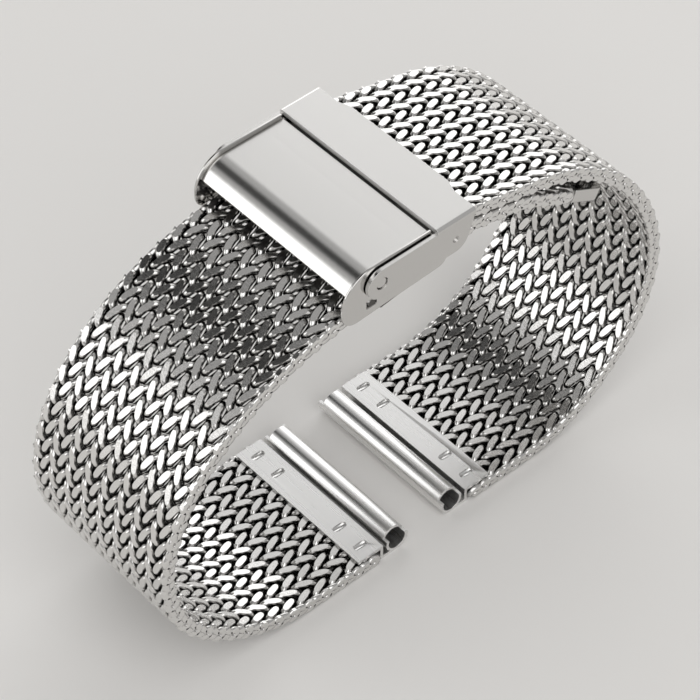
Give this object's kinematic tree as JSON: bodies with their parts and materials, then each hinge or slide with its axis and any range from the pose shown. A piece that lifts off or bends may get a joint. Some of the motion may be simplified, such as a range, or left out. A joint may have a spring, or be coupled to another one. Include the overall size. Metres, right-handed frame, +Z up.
{
  "type": "milanese mesh band",
  "caption": "Woven steel mesh watch band closed in a loop by a sliding hook clasp with a hinged safety bail, a lock flap below and rolled lug ends for spring bars.",
  "frame": {"origin": "on the surface that the band lies on, below the middle of the loop's box", "axes": "+X along the band at the clasp, from the nose to the bail's free edge, +Y across the band, +Z up"},
  "size_m": [0.072, 0.0244, 0.0488],
  "materials": {
    "mesh": "polished wire with ground faces",
    "polished_steel": "mirror polish",
    "inner_steel": "satin",
    "lug_end_steel": "satin to bright"
  },
  "bodies": {
    "slider": {"side_plate_near": "polished_steel", "side_plate_far": "polished_steel", "top_skin": "polished_steel", "hook_plate": "inner_steel", "bail_rivet_near": "polished_steel", "bail_rivet_far": "polished_steel"},
    "bail": {"bail": "polished_steel"},
    "lock_flap": {"lock_flap": "inner_steel"},
    "long_run": {"long_mesh_run": "mesh"},
    "tail_1": {"long_mesh_tail_1": "mesh"},
    "tail_2": {"long_mesh_tail_2": "mesh", "tail_tip": "polished_steel"},
    "latch": {"latch_clip": "inner_steel", "short_mesh_stub": "mesh"},
    "long_1": {"long_mesh_1": "mesh"},
    "long_2": {"long_mesh_2": "mesh"},
    "long_3": {"long_mesh_3": "mesh"},
    "long_4": {"long_mesh_4": "mesh"},
    "long_5": {"long_mesh_5": "mesh"},
    "long_6": {"long_mesh_6": "mesh"},
    "long_7": {"long_mesh_7": "mesh"},
    "long_8": {"long_mesh_8": "mesh", "lug_end_long": "lug_end_steel"},
    "short_1": {"short_mesh_1": "mesh"},
    "short_2": {"short_mesh_2": "mesh"},
    "short_3": {"short_mesh_3": "mesh"},
    "short_4": {"short_mesh_4": "mesh"},
    "short_5": {"short_mesh_5": "mesh"},
    "short_6": {"short_mesh_6": "mesh"},
    "short_7": {"short_mesh_7": "mesh"},
    "short_8": {"short_mesh_8": "mesh"},
    "short_9": {"short_mesh_9": "mesh", "lug_end_short": "lug_end_steel"}
  },
  "joints": [
    {"name": "bail_hinge", "type": "hinge", "parent": "slider", "child": "bail", "pos_m": [-0.0075, 0, 0.0465], "axis": [0, -1, 0], "range_deg": [0, 110]},
    {"name": "lock_flap_hinge", "type": "hinge", "parent": "slider", "child": "lock_flap", "pos_m": [-0.00835, 0, 0.0439], "axis": [0, 1, 0], "range_deg": [0, 60]},
    {"name": "strap_slide", "type": "slide", "parent": "slider", "child": "long_run", "axis": [-0.9914, 0, -0.1305], "range_m": [0, 0.006]},
    {"name": "tail_bend_1", "type": "hinge", "parent": "long_run", "child": "tail_1", "pos_m": [0.006, 0, 0.04481], "axis": [0, 1, 0], "range_deg": [0, 15]},
    {"name": "tail_bend_2", "type": "hinge", "parent": "tail_1", "child": "tail_2", "pos_m": [0.01376, 0, 0.04302], "axis": [0, 1, 0], "range_deg": [0, 15]},
    {"name": "long_bend_1", "type": "hinge", "parent": "long_run", "child": "long_1", "pos_m": [-0.0108, 0, 0.0426], "axis": [0, 1, 0], "range_deg": [0, 20]},
    {"name": "long_bend_2", "type": "hinge", "parent": "long_1", "child": "long_2", "pos_m": [-0.02005, 0, 0.04012], "axis": [0, 1, 0], "range_deg": [0, 20]},
    {"name": "long_bend_3", "type": "hinge", "parent": "long_2", "child": "long_3", "pos_m": [-0.02811, 0, 0.03499], "axis": [0, 1, 0], "range_deg": [0, 20]},
    {"name": "long_bend_4", "type": "hinge", "parent": "long_3", "child": "long_4", "pos_m": [-0.03368, 0, 0.02725], "axis": [0, 1, 0], "range_deg": [0, 20]},
    {"name": "long_bend_5", "type": "hinge", "parent": "long_4", "child": "long_5", "pos_m": [-0.03517, 0, 0.01787], "axis": [0, 1, 0], "range_deg": [0, 20]},
    {"name": "long_bend_6", "type": "hinge", "parent": "long_5", "child": "long_6", "pos_m": [-0.03147, 0, 0.00916], "axis": [0, 1, 0], "range_deg": [0, 20]},
    {"name": "long_bend_7", "type": "hinge", "parent": "long_6", "child": "long_7", "pos_m": [-0.02405, 0, 0.00315], "axis": [0, 1, 0], "range_deg": [0, 20]},
    {"name": "long_bend_8", "type": "hinge", "parent": "long_7", "child": "long_8", "pos_m": [-0.01482, 0, 0.00085], "axis": [0, 1, 0], "range_deg": [0, 20]},
    {"name": "latch_rock", "type": "hinge", "parent": "slider", "child": "latch", "pos_m": [0.00075, 0, 0.04638], "axis": [0, -1, 0], "range_deg": [0, 2.5]},
    {"name": "short_bend_1", "type": "hinge", "parent": "latch", "child": "short_1", "pos_m": [0.00641, 0, 0.04657], "axis": [0, -1, 0], "range_deg": [0, 18]},
    {"name": "short_bend_2", "type": "hinge", "parent": "short_1", "child": "short_2", "pos_m": [0.01522, 0, 0.04453], "axis": [0, -1, 0], "range_deg": [0, 18]},
    {"name": "short_bend_3", "type": "hinge", "parent": "short_2", "child": "short_3", "pos_m": [0.02346, 0, 0.04095], "axis": [0, -1, 0], "range_deg": [0, 18]},
    {"name": "short_bend_4", "type": "hinge", "parent": "short_3", "child": "short_4", "pos_m": [0.02996, 0, 0.03473], "axis": [0, -1, 0], "range_deg": [0, 18]},
    {"name": "short_bend_5", "type": "hinge", "parent": "short_4", "child": "short_5", "pos_m": [0.03408, 0, 0.02673], "axis": [0, -1, 0], "range_deg": [0, 18]},
    {"name": "short_bend_6", "type": "hinge", "parent": "short_5", "child": "short_6", "pos_m": [0.03486, 0, 0.0178], "axis": [0, -1, 0], "range_deg": [0, 18]},
    {"name": "short_bend_7", "type": "hinge", "parent": "short_6", "child": "short_7", "pos_m": [0.03151, 0, 0.0095], "axis": [0, -1, 0], "range_deg": [0, 18]},
    {"name": "short_bend_8", "type": "hinge", "parent": "short_7", "child": "short_8", "pos_m": [0.02496, 0, 0.00335], "axis": [0, -1, 0], "range_deg": [0, 18]},
    {"name": "short_bend_9", "type": "hinge", "parent": "short_8", "child": "short_9", "pos_m": [0.0164, 0, 0.00085], "axis": [0, -1, 0], "range_deg": [0, 18]}
  ],
  "couplings": [
    {"joint": "tail_bend_2", "follows": "tail_bend_1", "ratio": 1},
    {"joint": "long_bend_2", "follows": "long_bend_1", "ratio": 1},
    {"joint": "long_bend_3", "follows": "long_bend_1", "ratio": 1},
    {"joint": "long_bend_4", "follows": "long_bend_1", "ratio": 1},
    {"joint": "long_bend_5", "follows": "long_bend_1", "ratio": 1},
    {"joint": "long_bend_6", "follows": "long_bend_1", "ratio": 1},
    {"joint": "long_bend_7", "follows": "long_bend_1", "ratio": 1},
    {"joint": "long_bend_8", "follows": "long_bend_1", "ratio": 1},
    {"joint": "short_bend_2", "follows": "short_bend_1", "ratio": 1},
    {"joint": "short_bend_3", "follows": "short_bend_1", "ratio": 1},
    {"joint": "short_bend_4", "follows": "short_bend_1", "ratio": 1},
    {"joint": "short_bend_5", "follows": "short_bend_1", "ratio": 1},
    {"joint": "short_bend_6", "follows": "short_bend_1", "ratio": 1},
    {"joint": "short_bend_7", "follows": "short_bend_1", "ratio": 1},
    {"joint": "short_bend_8", "follows": "short_bend_1", "ratio": 1},
    {"joint": "short_bend_9", "follows": "short_bend_1", "ratio": 1}
  ]
}
